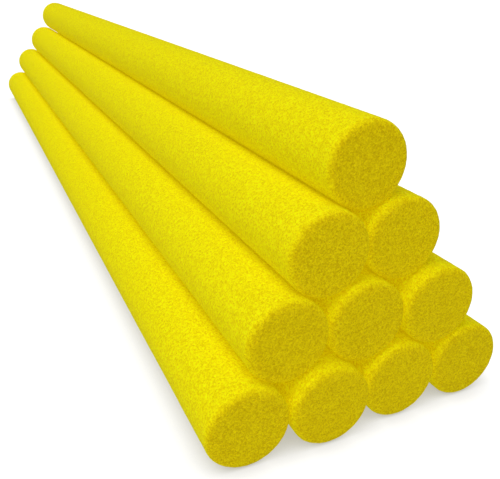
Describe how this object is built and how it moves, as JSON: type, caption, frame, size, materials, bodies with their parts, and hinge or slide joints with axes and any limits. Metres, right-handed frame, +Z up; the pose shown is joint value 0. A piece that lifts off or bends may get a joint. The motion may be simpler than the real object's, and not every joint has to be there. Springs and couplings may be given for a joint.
{
  "type": "foam flotation rod stack",
  "caption": "Loose pyramid stack of long solid-core closed-cell foam rods with softly rounded ends, of the kind that keeps swimmers afloat in a pool.",
  "frame": {"origin": "on the floor under the middle of the stack: the centre of the bounding box's bottom face", "axes": "+Z up; the rods lie along Y with their front ends towards -Y; +X is to the right, seen from the front"},
  "size_m": [0.245, 1.348, 0.2201],
  "materials": {
    "foam": "matte, fine-pebbled closed-cell polyethylene foam skin, yellow"
  },
  "bodies": {
    "bottom_rod_2": {"bottom_rod_2": "foam"},
    "bottom_rod_1": {"bottom_rod_1": "foam"},
    "bottom_rod_3": {"bottom_rod_3": "foam"},
    "bottom_rod_4": {"bottom_rod_4": "foam"},
    "second_rod_1": {"second_rod_1": "foam"},
    "second_rod_2": {"second_rod_2": "foam"},
    "second_rod_3": {"second_rod_3": "foam"},
    "third_rod_1": {"third_rod_1": "foam"},
    "third_rod_2": {"third_rod_2": "foam"},
    "top_rod": {"top_rod": "foam"}
  },
  "joints": [
    {"name": "bottom_rod_1_draw", "type": "slide", "parent": "bottom_rod_2", "child": "bottom_rod_1", "axis": [0, 1, 0], "range_m": [-0.6, 0.6]},
    {"name": "bottom_rod_3_draw", "type": "slide", "parent": "bottom_rod_2", "child": "bottom_rod_3", "axis": [0, 1, 0], "range_m": [-0.6, 0.6]},
    {"name": "bottom_rod_4_draw", "type": "slide", "parent": "bottom_rod_2", "child": "bottom_rod_4", "axis": [0, 1, 0], "range_m": [-0.6, 0.6]},
    {"name": "second_rod_1_draw", "type": "slide", "parent": "bottom_rod_2", "child": "second_rod_1", "axis": [0, 1, 0], "range_m": [-0.6, 0.6]},
    {"name": "second_rod_2_draw", "type": "slide", "parent": "bottom_rod_2", "child": "second_rod_2", "axis": [0, 1, 0], "range_m": [-0.6, 0.6]},
    {"name": "second_rod_3_draw", "type": "slide", "parent": "bottom_rod_2", "child": "second_rod_3", "axis": [0, 1, 0], "range_m": [-0.6, 0.6]},
    {"name": "third_rod_1_draw", "type": "slide", "parent": "bottom_rod_2", "child": "third_rod_1", "axis": [0, 1, 0], "range_m": [-0.6, 0.6]},
    {"name": "third_rod_2_draw", "type": "slide", "parent": "bottom_rod_2", "child": "third_rod_2", "axis": [0, 1, 0], "range_m": [-0.6, 0.6]},
    {"name": "top_rod_lift", "type": "slide", "parent": "bottom_rod_2", "child": "top_rod", "axis": [0, 0, 1], "range_m": [0, 0.3]}
  ]
}
